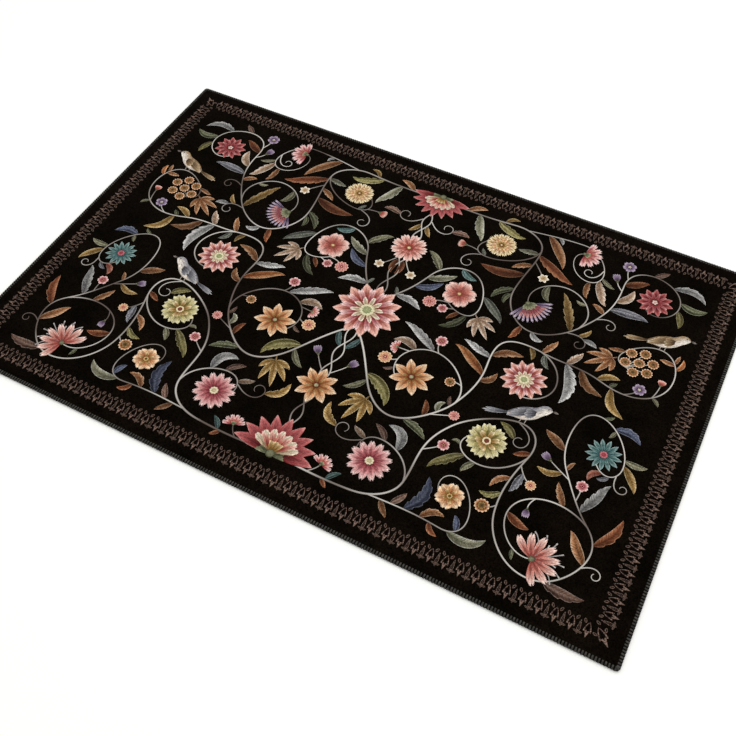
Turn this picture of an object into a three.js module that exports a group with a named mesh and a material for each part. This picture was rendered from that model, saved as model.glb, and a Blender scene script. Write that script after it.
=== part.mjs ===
// Flat cloth doormat with an overlocked yarn edge. Millimetres, +Z up.
// The origin is on the floor under the middle of the mat, with X along the long side.
import * as THREE from 'three';

// Driving sizes of the finished mat, over the edge yarn
const matLength = 900;
const matWidth = 600;
const pileHeight = 4.0;
const cornerRadius = 5.0;
const cornerSteps = 8;

// Edge yarn: how far it reaches in over the cloth, how thick it lies, and how high it stands
const wrapReach = 4.2;
const yarnThickness = 0.9;
const yarnTop = 4.2;
const yarnRoundings = 4;

// Room left between the yarn and the cloth it holds
const gap = 0.3;
const pileSlope = 0.5;
const sharpestCorner = 0.3;

// The mat's outline, drawn in from its outer edge, counter-clockwise from above
function outlineAt(inset) {
  const radius = Math.max(cornerRadius - inset, sharpestCorner);
  const reachX = matLength / 2 - inset - radius;
  const reachY = matWidth / 2 - inset - radius;
  const corners = [
    { x: reachX, y: reachY, from: 0 },
    { x: -reachX, y: reachY, from: Math.PI / 2 },
    { x: -reachX, y: -reachY, from: Math.PI },
    { x: reachX, y: -reachY, from: 1.5 * Math.PI },
  ];
  const points = [];
  for (const corner of corners) {
    for (let step = 0; step <= cornerSteps; step += 1) {
      const angle = corner.from + (step / cornerSteps) * (Math.PI / 2);
      points.push({ x: corner.x + radius * Math.cos(angle), y: corner.y + radius * Math.sin(angle) });
    }
  }
  return points;
}

// Carries a section of { inset, z } steps round the outline. An open section runs from the middle of
// the underside to the middle of the top, and both of its ends are closed with a flat face.
function carriedRound(section, isRing) {
  const positions = [];
  const faces = [];
  const around = outlineAt(0).length;
  for (const step of section) {
    for (const point of outlineAt(step.inset)) positions.push(point.x, point.y, step.z);
  }
  const lastStep = isRing ? section.length : section.length - 1;
  for (let step = 0; step < lastStep; step += 1) {
    const low = step * around;
    const high = ((step + 1) % section.length) * around;
    for (let here = 0; here < around; here += 1) {
      const next = (here + 1) % around;
      faces.push(low + here, low + next, high + next, low + here, high + next, high + here);
    }
  }
  if (!isRing) {
    closeWithFan(positions, faces, 0, around, section[0].z, true);
    closeWithFan(positions, faces, (section.length - 1) * around, around, section.at(-1).z, false);
  }
  const geometry = new THREE.BufferGeometry();
  geometry.setAttribute('position', new THREE.Float32BufferAttribute(positions, 3));
  geometry.setIndex(faces);
  geometry.computeVertexNormals();
  return geometry;
}

// A flat face from one ring of points to the middle of the mat
function closeWithFan(positions, faces, firstPoint, around, z, facesDown) {
  const middle = positions.length / 3;
  positions.push(0, 0, z);
  for (let here = 0; here < around; here += 1) {
    const next = (here + 1) % around;
    const pair = facesDown ? [next, here] : [here, next];
    faces.push(middle, firstPoint + pair[0], firstPoint + pair[1]);
  }
}

// One cloth, flat below. Its edge is pressed thin to a tongue where the yarn grips it.
function clothGeometry() {
  const shoulder = wrapReach + gap;
  const tongueEdge = yarnThickness + gap;
  const tongueLow = yarnThickness + gap;
  const tongueHigh = yarnTop - yarnThickness - gap;
  return carriedRound([
    { inset: shoulder, z: 0 },
    { inset: shoulder, z: tongueLow },
    { inset: tongueEdge, z: tongueLow },
    { inset: tongueEdge, z: tongueHigh },
    { inset: shoulder, z: tongueHigh },
    { inset: shoulder, z: pileHeight - pileSlope },
    { inset: shoulder + pileSlope, z: pileHeight },
  ], false);
}

// A quarter round of the yarn's outer side, from one angle to the next, about a centre
function yarnRounding(inset, z, fromAngle) {
  const steps = [];
  for (let step = 0; step <= yarnRoundings; step += 1) {
    const angle = fromAngle + (step / yarnRoundings) * (Math.PI / 2);
    steps.push({ inset: inset - yarnThickness * Math.cos(angle), z: z + yarnThickness * Math.sin(angle) });
  }
  return steps;
}

// The overlocked yarn, one closed run round all four sides, as a U that holds the tongue
function edgeYarnGeometry() {
  const insideLow = yarnThickness;
  const insideHigh = yarnTop - yarnThickness;
  return carriedRound([
    { inset: wrapReach, z: 0 },
    ...yarnRounding(yarnThickness, yarnThickness, -Math.PI / 2),
    ...yarnRounding(yarnThickness, insideHigh, 0),
    { inset: wrapReach, z: yarnTop },
    { inset: wrapReach, z: insideHigh },
    { inset: yarnThickness, z: insideHigh },
    { inset: yarnThickness, z: insideLow },
    { inset: wrapReach, z: insideLow },
  ], true);
}

function namedMesh(name, geometry, look) {
  const mesh = new THREE.Mesh(geometry, new THREE.MeshStandardMaterial(look));
  mesh.name = name;
  return mesh;
}

const blackPile = { color: 0x0c0b0d, roughness: 0.95, metalness: 0 };
const greyYarn = { color: 0x2e2c2b, roughness: 0.8, metalness: 0 };

const doormat = new THREE.Group();
doormat.add(namedMesh('mat_cloth', clothGeometry(), blackPile));
doormat.add(namedMesh('edge_yarn', edgeYarnGeometry(), greyYarn));

export default doormat;
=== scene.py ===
import functools
import math
import random
from collections import namedtuple

import bpy
import numpy as np
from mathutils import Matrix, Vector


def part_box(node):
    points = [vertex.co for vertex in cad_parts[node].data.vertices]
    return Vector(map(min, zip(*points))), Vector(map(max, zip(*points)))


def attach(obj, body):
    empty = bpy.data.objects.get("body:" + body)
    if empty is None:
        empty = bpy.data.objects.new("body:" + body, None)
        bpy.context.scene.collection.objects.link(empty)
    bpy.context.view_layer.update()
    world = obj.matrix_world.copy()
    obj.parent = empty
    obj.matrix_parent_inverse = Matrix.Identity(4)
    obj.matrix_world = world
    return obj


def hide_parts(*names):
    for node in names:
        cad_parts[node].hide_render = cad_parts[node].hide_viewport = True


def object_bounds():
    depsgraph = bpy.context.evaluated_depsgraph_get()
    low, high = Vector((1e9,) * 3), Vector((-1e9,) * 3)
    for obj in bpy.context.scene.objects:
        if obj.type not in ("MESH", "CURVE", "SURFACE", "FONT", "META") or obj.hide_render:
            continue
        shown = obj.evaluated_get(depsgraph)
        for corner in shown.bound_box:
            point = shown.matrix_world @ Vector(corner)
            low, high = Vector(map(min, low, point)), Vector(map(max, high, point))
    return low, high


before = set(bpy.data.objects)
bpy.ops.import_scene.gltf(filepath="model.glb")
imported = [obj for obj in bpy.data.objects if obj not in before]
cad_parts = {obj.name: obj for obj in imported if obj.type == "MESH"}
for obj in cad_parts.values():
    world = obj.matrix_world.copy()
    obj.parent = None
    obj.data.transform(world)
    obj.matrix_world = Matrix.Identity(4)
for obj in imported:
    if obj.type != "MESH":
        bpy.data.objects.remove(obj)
cad_low, cad_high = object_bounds()

# The design is laid out in millimetres on the mat, seen from above, and made in metres
MM = 0.001
HALF_LONG = cad_high.x / MM
HALF_SHORT = cad_high.y / MM
PILE_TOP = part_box("mat_cloth")[1].z / MM

# Where the camera stands, from the mat's four straight edges in the picture
LOOKS_AT = (0.0437, -0.0760, 0.0)
CAMERA_AZIMUTH = math.radians(27.56)
CAMERA_HEIGHT_ANGLE = math.radians(54.0)
CAMERA_DISTANCE = 1.1643
CAMERA_LENS = 44.80
SENSOR_WIDTH = 36.0

LAMP_PLACE = (0.2, 0.5, 1.9)
FLOOR_REACH = 6000


def placed(name, data):
    """A new object in the scene."""
    made = bpy.data.objects.new(name, data)
    bpy.context.scene.collection.objects.link(made)
    return made


def make_camera():
    """A plain camera at the picture's angle, with no shift."""
    data = bpy.data.cameras.new("camera")
    data.lens = CAMERA_LENS
    data.sensor_width = SENSOR_WIDTH
    camera = placed("camera", data)
    flat = math.cos(CAMERA_HEIGHT_ANGLE)
    back = np.array([math.sin(CAMERA_AZIMUTH) * flat,
                     -math.cos(CAMERA_AZIMUTH) * flat,
                     math.sin(CAMERA_HEIGHT_ANGLE)])
    camera.location = np.array(LOOKS_AT) + CAMERA_DISTANCE * back
    camera.rotation_euler = (math.pi / 2 - CAMERA_HEIGHT_ANGLE, 0.0, CAMERA_AZIMUTH)
    bpy.context.scene.camera = camera


def linear(hex_colour):
    """An sRGB colour such as "a8a29a" as linear red, green, blue and one."""
    values = [int(hex_colour[i:i + 2], 16) / 255 for i in (0, 2, 4)]
    return tuple(v / 12.92 if v <= 0.04045 else ((v + 0.055) / 1.055) ** 2.4 for v in values) + (1.0,)


# How far a dye is dulled towards grey, for a white one. A darker one keeps more of its colour.
DULLING = 0.28


def dye(hex_colour):
    colour = np.array(linear(hex_colour)[:3])
    return colour + DULLING * math.sqrt(colour.mean()) * (colour.mean() - colour)


def add(tree, kind, inputs=(), **settings):
    """Adds a node with its settings. Its inputs are given by name, or else in their own order. Each is a
    value, a socket to link, or a node, whose first output in use is linked."""
    made = tree.nodes.new(kind)
    for name, value in settings.items():
        setattr(made, name, value)
    for name, value in inputs.items() if isinstance(inputs, dict) else enumerate(inputs):
        if isinstance(value, bpy.types.Node):
            value = next(socket for socket in value.outputs if socket.enabled)
        if isinstance(value, bpy.types.NodeSocket):
            tree.links.new(value, made.inputs[name])
        else:
            made.inputs[name].default_value = value
    return made


def new_material(name):
    """An empty material, with its node tree."""
    material = bpy.data.materials.new(name)
    material.use_nodes = True
    material.node_tree.nodes.clear()
    return material, material.node_tree


def finish_material(material, colour, rough, relief=None, strength=0.5, depth=0.2, **surface):
    """Ends a material's nodes in one shader, over a relief of so many millimetres. What else is given
    goes to the shader's own sockets."""
    tree = material.node_tree
    inputs = {"Base Color": colour, "Roughness": rough}
    if relief:
        inputs["Normal"] = add(tree, "ShaderNodeBump",
                               {"Height": relief, "Strength": strength, "Distance": depth * MM})
    for socket, value in surface.items():
        inputs[socket.replace("_", " ")] = value
    add(tree, "ShaderNodeOutputMaterial", [add(tree, "ShaderNodeBsdfPrincipled", inputs)])
    return material


# A tuft of the pile, drawn at twice the 0.8 mm that is usual for such cloth, so that it shows
TUFT = 1.6


def short_black_pile():
    """Polyester pile, dyed black and brushed. Light is caught between its upright fibres, so none of it
    glints back."""
    brush_patch = 70.0
    material, tree = new_material("short_black_brushed_pile")
    place = add(tree, "ShaderNodeTexCoord").outputs["Object"]
    clumps, patches = (
        add(tree, "ShaderNodeTexNoise",
            {"Vector": place, "Scale": 1000 / size, "Detail": detail, "Roughness": 0.7})
        for size, detail in ((TUFT, 3.0), (brush_patch, 4.0)))
    fine = add(tree, "ShaderNodeMapRange", (clumps, 0.33, 0.72))
    broad = add(tree, "ShaderNodeMapRange", (patches, 0.35, 0.65, 0.5, 1.3))
    shade = add(tree, "ShaderNodeMath", (fine, broad), operation="MULTIPLY")
    black = add(tree, "ShaderNodeMix", {"Factor": shade, "A": linear("020201"), "B": linear("150f0a")},
                data_type="RGBA")
    rough = add(tree, "ShaderNodeMapRange", (patches, 0.0, 1.0, 0.82, 0.98))
    return finish_material(material, black, rough, clumps, 0.5, 0.3, Specular_IOR_Level=0.0,
                           Sheen_Weight=0.04, Sheen_Roughness=0.35)


def woven_back():
    """Plain woven backing under the pile, matt charcoal, its threads 1.2 mm apart."""
    thread = 1.2
    waves_in_scale = 3.2
    material, tree = new_material("plain_woven_backing")
    place = add(tree, "ShaderNodeTexCoord").outputs["Object"]
    warp, weft = (
        add(tree, "ShaderNodeTexWave", {"Vector": place, "Scale": 1000 / thread / waves_in_scale},
            bands_direction=way).outputs["Fac"] for way in "XY")
    weave = add(tree, "ShaderNodeMath", (warp, weft), operation="MULTIPLY")
    grey = add(tree, "ShaderNodeMix", {"Factor": weave, "A": linear("161516"), "B": linear("343133")},
               data_type="RGBA")
    return finish_material(material, grey, 0.9, weave, 0.6, 0.3, Specular_IOR_Level=0.3)


def dyed_threads(name, pitch, run, depth, glint=0.08):
    """Colour from the piece's own dye, broken up by fine threads that follow its UV map. Such threads
    usually lie about 0.6 mm apart, and they are drawn coarser, at the pitch given, so that they show."""
    material, tree = new_material(name)
    place = add(tree, "ShaderNodeTexCoord").outputs["Object"]
    uv = add(tree, "ShaderNodeUVMap", uv_map="threads")
    stretched = add(tree, "ShaderNodeVectorMath", (uv, (1 / pitch, 1 / run, 1.0)), operation="MULTIPLY")
    threads = add(tree, "ShaderNodeTexNoise",
                  {"Vector": stretched, "Scale": 1.0, "Detail": 2.0, "Roughness": 0.6}, noise_dimensions="2D")
    shade = add(tree, "ShaderNodeMapRange", (threads, 0.3, 0.7, 1 - depth, 1 + 0.8 * depth))
    tufts = add(tree, "ShaderNodeTexNoise", {"Vector": place, "Scale": 1000 / TUFT, "Detail": 1.0})
    grain = add(tree, "ShaderNodeMapRange", (tufts, 0.3, 0.7, 0.7, 1.22))
    both = add(tree, "ShaderNodeMath", (shade, grain), operation="MULTIPLY")
    colour = add(tree, "ShaderNodeAttribute", attribute_name="dye")
    shaded = add(tree, "ShaderNodeVectorMath", {0: colour, "Scale": both}, operation="SCALE")
    rough = add(tree, "ShaderNodeMapRange", (threads, 0.0, 1.0, 0.9, 0.7))
    return finish_material(material, shaded, rough, threads, 0.5, 0.25, Specular_IOR_Level=glint)


def twisted_cord():
    """Stems drawn like a laid cord: pale and silvery along the middle, darker at the sides, with fine
    slanting plies, and a tint that drifts from silver to a warm brown over the mat."""
    ply = 2.0
    drift = 120.0
    material, tree = new_material("twisted_cord_stem")
    place = add(tree, "ShaderNodeTexCoord").outputs["Object"]
    uv = add(tree, "ShaderNodeSeparateXYZ", [add(tree, "ShaderNodeUVMap", uv_map="threads")]).outputs
    slant = add(tree, "ShaderNodeMath", (uv["Y"], 1.4), operation="MULTIPLY")
    phase = add(tree, "ShaderNodeMath", (uv["X"], slant), operation="ADD")
    turn = add(tree, "ShaderNodeMath", (phase, 2 * math.pi / ply), operation="MULTIPLY")
    plies = add(tree, "ShaderNodeMath", [turn], operation="SINE")
    shade = add(tree, "ShaderNodeMapRange", (plies, -1.0, 1.0, 0.62, 1.12))
    side = add(tree, "ShaderNodeMath", [uv["Y"]], operation="ABSOLUTE")
    falloff = add(tree, "ShaderNodeMapRange", (side, 0.2, 1.0, 1.0, 0.42))
    both = add(tree, "ShaderNodeMath", (shade, falloff), operation="MULTIPLY")
    wander = add(tree, "ShaderNodeTexNoise", {"Vector": place, "Scale": 1000 / drift, "Detail": 1.0})
    spread = add(tree, "ShaderNodeMapRange", (wander, 0.38, 0.62))
    tint = add(tree, "ShaderNodeMix", {"Factor": spread, "A": linear("6a5d56"), "B": linear("d8d3ca")},
               data_type="RGBA")
    cord = add(tree, "ShaderNodeVectorMath", {0: tint, "Scale": both}, operation="SCALE")
    return finish_material(material, cord, 0.75, plies, 0.35, 0.2, Specular_IOR_Level=0.08)


def spun_yarn():
    """Overlocking yarn, spun polyester in charcoal grey: matt, with its filaments running along each
    stitch. Painted shade darkens each stitch at its two sides, where it sinks between its neighbours."""
    filaments_per_mm = (2.6, 0.35, 1.0)
    lumps_per_metre = 220.0
    material, tree = new_material("spun_charcoal_yarn")
    place = add(tree, "ShaderNodeTexCoord").outputs["Object"]
    uv = add(tree, "ShaderNodeUVMap", uv_map="threads")
    stretched = add(tree, "ShaderNodeVectorMath", (uv, filaments_per_mm), operation="MULTIPLY")
    filaments = add(tree, "ShaderNodeTexNoise", {"Vector": stretched, "Scale": 1.0, "Detail": 2.0},
                    noise_dimensions="2D")
    lumps = add(tree, "ShaderNodeTexNoise", {"Vector": place, "Scale": lumps_per_metre, "Detail": 1.0})
    shade = add(tree, "ShaderNodeMath", (filaments, lumps), operation="MULTIPLY")
    across = add(tree, "ShaderNodeSeparateXYZ", [uv])
    side = add(tree, "ShaderNodeMath", [across], operation="ABSOLUTE")
    # Painted shade: the yarn's tone falls to a tenth towards both sides of each stitch, where it sinks
    # between its neighbours. lit is the yarn's tone with this painted shade in it.
    painted_groove_shade = add(tree, "ShaderNodeMapRange", (side, 0.4, STITCH_HALF_WIDTH, 1.0, 0.1))
    lit = add(tree, "ShaderNodeMath", (shade, painted_groove_shade), operation="MULTIPLY")
    spread = add(tree, "ShaderNodeMapRange", (lit, 0.06, 0.38))
    grey = add(tree, "ShaderNodeMix", {"Factor": spread, "A": linear("080707"), "B": linear("504d47")},
               data_type="RGBA")
    return finish_material(material, grey, 0.8, filaments, 0.5, 0.2, Specular_IOR_Level=0.12)


def new_mesh(name, points, faces, materials=(), uvs=None, dyes=None):
    """A mesh from points in millimetres. One with a UV map of its threads is smooth."""
    mesh = bpy.data.meshes.new(name)
    mesh.from_pydata((np.array(points) * MM).tolist(), [], faces)
    for material in materials:
        mesh.materials.append(material)
    if uvs is not None:
        corners = np.zeros(len(mesh.loops), int)
        mesh.loops.foreach_get("vertex_index", corners)
        threads = mesh.uv_layers.new(name="threads")
        threads.data.foreach_set("uv", uvs[corners].astype(np.float32).ravel())
        mesh.polygons.foreach_set("use_smooth", np.ones(len(faces), bool))
    if dyes is not None:
        colours = mesh.attributes.new("dye", "FLOAT_COLOR", "POINT")
        solid = np.column_stack([dyes, np.ones(len(dyes))])
        colours.data.foreach_set("color", solid.astype(np.float32).ravel())
    return mesh


def light_studio():
    """Even light from a white room, with one broad light overhead, over a plain pale floor."""
    world = bpy.data.worlds.new("studio")
    world.use_nodes = True
    background = world.node_tree.nodes["Background"]
    background.inputs["Color"].default_value = (1.0, 1.0, 0.995, 1.0)
    background.inputs["Strength"].default_value = 0.85
    bpy.context.scene.world = world
    data = bpy.data.lights.new("overhead", "AREA")
    data.shape = "RECTANGLE"
    data.size, data.size_y = 1.8, 1.4
    data.energy = 14.0
    data.color = (1.0, 0.99, 0.97)
    lamp = placed("overhead", data)
    lamp.location = LAMP_PLACE
    x, y, z = np.array(LAMP_PLACE) / np.linalg.norm(LAMP_PLACE)
    lamp.rotation_euler = (math.acos(z), 0.0, math.atan2(x, -y))
    material, _ = new_material("plain_pale_floor")
    finish_material(material, linear("fbfbf9"), 0.9, Specular_IOR_Level=0.1)
    corners = [(x * FLOOR_REACH, y * FLOOR_REACH, 0) for x, y in ((-1, -1), (1, -1), (1, 1), (-1, 1))]
    floor = placed("floor", new_mesh("floor", corners, [(0, 1, 2, 3)], [material]))


# Motifs: thin raised shapes in the pile, each a closed solid that is rooted just under the pile's top

ROOT_DEPTH = 0.25
EDGE_RISE = 0.03
LAYER_RISE = 0.02
# The least half width that is drawn, at a tip
FINEST = 0.12
MIDDLE_COLUMN = 3
SPINE_STEPS = 40


@functools.lru_cache
def strip_faces(rows, columns):
    """The faces of a strip solid: its top, its two sides, its two ends and its underside."""
    faces = []
    left, right = rows * columns, rows * columns + rows
    for i in range(rows - 1):
        here, there = i * columns, (i + 1) * columns
        for j in range(columns - 1):
            faces.append((here + j, here + j + 1, there + j + 1, there + j))
        faces.append((here, there, left + i + 1, left + i))
        faces.append((there + columns - 1, here + columns - 1, right + i, right + i + 1))
        faces.append((left + i, left + i + 1, right + i + 1, right + i))
    faces.append((left, right, *range(columns - 1, -1, -1)))
    last = (rows - 1) * columns
    faces.append((right + rows - 1, left + rows - 1, *range(last, last + columns)))
    return faces


@functools.lru_cache
def ring_faces(rings, around):
    """The faces of a solid made of rings of points: those between its rings, and the two that close it."""
    faces = []
    last = (rings - 1) * around
    for low in range(0, last, around):
        for i in range(around):
            j = (i + 1) % around
            faces.append((low + i, low + j, low + around + j, low + around + i))
    return [*faces, tuple(range(around - 1, -1, -1)), tuple(range(last, last + around))]


class Motifs:
    """Gathers closed solids, each with its threads' UV and its dyes, into one piece."""

    def __init__(self):
        self.points, self.uvs, self.dyes, self.faces = [], [], [], []
        self.count = 0

    def put(self, points, uvs, dyes, faces, twin):
        """Adds a solid, and where twin is set its mirror image across the short axis as well."""
        for side in (1, -1) if twin else (1,):
            self.points.append(points * (side, 1, 1))
            self.uvs.append(uvs)
            self.dyes.append(dyes)
            self.faces += [tuple(v + self.count for v in face[::side]) for face in faces]
            self.count += len(points)

    def strip(self, places, rises, uvs, dyes, level=0, twin=True):
        """A strip solid from rows of places on the mat, left to right, each with its rise over the pile."""
        rows, columns = rises.shape
        top = np.dstack([places, PILE_TOP + EDGE_RISE + level * LAYER_RISE + rises])
        points, uvs, dyes = (np.vstack([grid.reshape(rows * columns, -1), grid[:, 0], grid[:, -1]])
                             for grid in (top, uvs, dyes))
        points[rows * columns:, 2] = PILE_TOP - ROOT_DEPTH
        self.put(points, uvs, dyes, strip_faces(rows, columns), twin)

    def make(self, name, material):
        """The gathered solids as one piece."""
        points, uvs, dyes = (np.vstack(rows) for rows in (self.points, self.uvs, self.dyes))
        return placed(name, new_mesh(name, points, self.faces, [material], uvs, dyes))


def blend(a, b, share):
    """Goes from dye a to dye b by a share, which may be an array."""
    share = np.asarray(share, float)[..., None]
    return a * (1 - share) + b * share


def pairs(x, y):
    """Two grids of numbers as one grid of pairs."""
    return np.stack(np.broadcast_arrays(x, y), -1)


def beside(place, heading, ahead, left=0):
    """The spot that lies so far ahead of a place, and so far to its left, as its heading goes."""
    cos, sin = np.cos(heading), np.sin(heading)
    return pairs(place[0] + ahead * cos - left * sin, place[1] + ahead * sin + left * cos)


def crown(columns, half, widest, share):
    """Rises over a strip, highest along its middle, by a share of its half width up to the widest."""
    return (1 - columns ** 2) * np.minimum(half, widest)[:, None] * share


def spine(root, heading, length, bend, sway, shares):
    """Points and leftward directions along a midline that starts at root with a heading and curls
    more towards its tip."""
    steps = np.linspace(0, 1, SPINE_STEPS + 1)
    angles = heading + bend * steps ** 1.5 + sway * np.sin(2 * math.pi * steps)
    along = pairs(np.cos(angles), np.sin(angles)) * length / SPINE_STEPS
    places = np.array(root) + np.vstack([np.zeros(2), np.cumsum((along[1:] + along[:-1]) / 2, 0)])
    x, y, angle = (np.interp(shares, steps, values) for values in (*places.T, angles))
    return pairs(x, y), pairs(-np.sin(angle), np.cos(angle))


# Leaves: muted dyes for root, tip, rim and vein, and how often each is used
LeafDye = namedtuple("LeafDye", "root tip rim vein often")
LEAF_DYES = {
    "sage": LeafDye("45442e", "7f7c5a", "d2ccaa", "b7b28e", 4),
    "pale_sage": LeafDye("6d6c50", "aca988", "efecd8", "4c4937", 3),
    "olive": LeafDye("443e1e", "867c3e", "d2c788", "b9ae70", 4),
    "deep_green": LeafDye("27291b", "4f5338", "a5a585", "8d8e6c", 2),
    "grey_green": LeafDye("3a3c34", "65685b", "b9bbac", "9a9c8c", 2),
    "slate": LeafDye("424248", "74747c", "c8c7cc", "a9a8ae", 2),
    "silver": LeafDye("7b7977", "bdbab6", "efece7", "4c4b4a", 3),
    "teal": LeafDye("26413f", "4c706c", "a5bfb9", "86a29d", 1),
    "navy": LeafDye("262b3c", "474d64", "8d93a6", "6b7187", 1),
    "gold": LeafDye("6e501c", "bb9146", "efd79c", "472f10", 5),
    "rust": LeafDye("532812", "98532d", "d0986a", "38190a", 4),
    "copper": LeafDye("74421f", "b87a45", "ecc8a0", "452510", 4),
    "amber": LeafDye("8a4214", "d58239", "f8d29c", "5e2a0c", 2),
    "tan": LeafDye("876648", "c9a788", "f6e8d8", "5e4430", 3),
    "umber": LeafDye("3f2a20", "745141", "bb9f8f", "a18272", 3),
    "coral": LeafDye("8a3d29", "cf7a5e", "f0b69a", "5c281a", 1),
}
WARM_LEAVES = ("gold", "rust", "copper", "amber", "tan", "umber", "coral")
LEAF_COLUMNS = np.array([-1.0, -0.82, -0.42, 0.0, 0.42, 0.82, 1.0])
LEFT_HALF, RIGHT_HALF = [2, 1, 0], [4, 5, 6]
LEAF_ROWS = 13
SCALLOP = np.array([0.0, 0.45, 0.85])
SCALLOP_SWELL = np.array([0.74, 0.98, 1.06])
# The most that a leaf's profile comes to, and how far its darker half is shaded
LEAF_FULLEST = 0.475
IN_SHADE = 0.66
Leaf = namedtuple("Leaf", "places shares across half length")


def leaf_shape(root, heading, length, half_width, bend=0.0, sway=0.0, scallops=(0, 0)):
    """A leaf's rows of places, as a curved midline and a swelling profile, whose left and right edges
    are smooth or have scallops that point to the tip."""
    most = max(scallops)
    if most:
        shares = np.append(((np.arange(most)[:, None] + SCALLOP) / most).ravel(), 1.0)
        swell = np.append(np.tile(SCALLOP_SWELL, most), 1.0)
    else:
        shares = np.linspace(0, 1, LEAF_ROWS) ** 0.9
    profile = shares ** 0.72 * (1 - shares) ** 0.92 / LEAF_FULLEST
    half = np.maximum(half_width * profile, FINEST)
    half[0] = min(0.6, 0.2 * half_width)
    middle, leftward = spine(root, heading, length, bend, sway, shares)
    across = -half[:, None] * LEAF_COLUMNS
    for count, columns in zip(scallops, (LEFT_HALF, RIGHT_HALF)):
        if count:
            across[:, columns] *= swell[:, None]
    places = middle[:, None] + leftward[:, None] * across[..., None]
    return Leaf(places, shares, across, half, length)


def add_leaf(motifs, leaf, colour, strength, level=0, shaded_left=True):
    """Colours a leaf shape: dark at its root and vein, one half in shade, and the other half paler
    the nearer it comes to its rim."""
    root, tip, rim, vein = (dye(d) for d in LEAF_DYES[colour][:4])
    body = blend(root, tip, leaf.shares ** 0.7) * strength
    grid = np.tile(body[:, None], (1, len(LEAF_COLUMNS), 1))
    shaded, lit = (LEFT_HALF, RIGHT_HALF) if shaded_left else (RIGHT_HALF, LEFT_HALF)
    for column, paler in zip(lit, (0.05, 0.3, 1.0)):
        grid[:, column] = blend(grid[:, column], rim * strength, paler * np.minimum(1, 0.5 + leaf.shares))
    for column, paler in zip(shaded, (0.0, 0.0, 0.85)):
        grid[:, column] = blend(grid[:, column] * IN_SHADE, rim * strength, paler)
    grid[:, MIDDLE_COLUMN] = blend(body, vein * strength, 0.85 * (1 - leaf.shares) ** 0.4)
    rises = crown(LEAF_COLUMNS, leaf.half, 6.0, 0.06)
    rises[:, MIDDLE_COLUMN] *= 0.55
    along = (leaf.shares * leaf.length)[:, None] - 0.9 * np.abs(leaf.across)
    motifs.strip(leaf.places, rises, pairs(along, leaf.across), grid, level)


# Petals: half widths at seven steps from base to tip, and how far each column of the tip is pushed out
Petal = namedtuple("Petal", "widths tip", defaults=[(0.0,) * 7])
PETAL_SHARES = np.array([0.0, 0.12, 0.3, 0.5, 0.7, 0.87, 1.0])
PETAL_COLUMNS = np.array([-1.0, -0.84, -0.4, 0.0, 0.4, 0.84, 1.0])
PETAL_MIDDLE = 0.45
PETALS = {
    "round": Petal((0.34, 0.48, 0.76, 0.96, 1.0, 0.84, 0.42), (-0.13, -0.06, 0.0, 0.01, 0.0, -0.06, -0.13)),
    "point": Petal((0.42, 0.58, 0.86, 1.0, 0.84, 0.46, 0.05)),
    "slim": Petal((0.4, 0.55, 0.8, 0.97, 1.0, 0.8, 0.32), (-0.07, -0.03, 0.0, 0.0, 0.0, -0.03, -0.07)),
    "notch": Petal((0.22, 0.4, 0.7, 0.94, 1.06, 1.0, 0.74), (-0.18, -0.04, 0.03, -0.10, 0.03, -0.04, -0.18)),
    "fringe": Petal((0.2, 0.34, 0.6, 0.84, 0.98, 1.04, 1.0), (-0.15, 0.02, -0.08, 0.07, -0.08, 0.02, -0.15)),
    "thread": Petal((1.0, 1.0, 1.0, 1.0, 1.0, 1.1, 1.7)),
    "egg": Petal((0.22, 0.42, 0.72, 0.94, 1.0, 0.88, 0.5), (-0.10, -0.04, 0.0, 0.01, 0.0, -0.04, -0.10)),
}


def add_petal(motifs, root, heading, length, half_width, kind, dyes, level, twin=True, bend=0.0):
    """One petal or feather, with dyes for its base, middle, tip, rim and vein."""
    petal = PETALS[kind]
    middle, leftward = spine(root, heading - bend / 3, length, bend, 0.0, PETAL_SHARES)
    forward = pairs(leftward[:, 1], -leftward[:, 0])
    half = half_width * np.array(petal.widths)
    across = -half[:, None] * PETAL_COLUMNS
    push = PETAL_SHARES[:, None] ** 4 * np.array(petal.tip) * length
    places = middle[:, None] + leftward[:, None] * across[..., None] + forward[:, None] * push[..., None]
    base, centre, tip, rim, vein = (dye(d) for d in dyes)
    inner = blend(base, centre, np.clip(PETAL_SHARES / PETAL_MIDDLE, 0, 1))
    outer = blend(centre, tip, np.clip((PETAL_SHARES - PETAL_MIDDLE) / 0.42, 0, 1))
    body = np.where((PETAL_SHARES < PETAL_MIDDLE)[:, None], inner, outer)
    grid = np.tile(body[:, None], (1, len(PETAL_COLUMNS), 1))
    for column, share, fade in ((MIDDLE_COLUMN, 0.9, 0.7), (2, 0.5, 1.3), (4, 0.5, 1.3)):
        grid[:, column] = blend(grid[:, column], vein, share * (1 - PETAL_SHARES) ** fade)
    edge = 0.35 + 0.5 * PETAL_SHARES
    grid[:, 0] = blend(grid[:, 0], rim, edge)
    grid[:, -1] = blend(grid[:, -1], vein, 0.6 * edge)
    grid[-1] = blend(grid[-1], rim, 0.6)
    rises = crown(PETAL_COLUMNS, half, 5.0, 0.07) + 0.1 * np.sin(math.pi * PETAL_SHARES)[:, None]
    motifs.strip(places, rises, pairs(across, (PETAL_SHARES * length)[:, None]), grid, level, twin)


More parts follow.
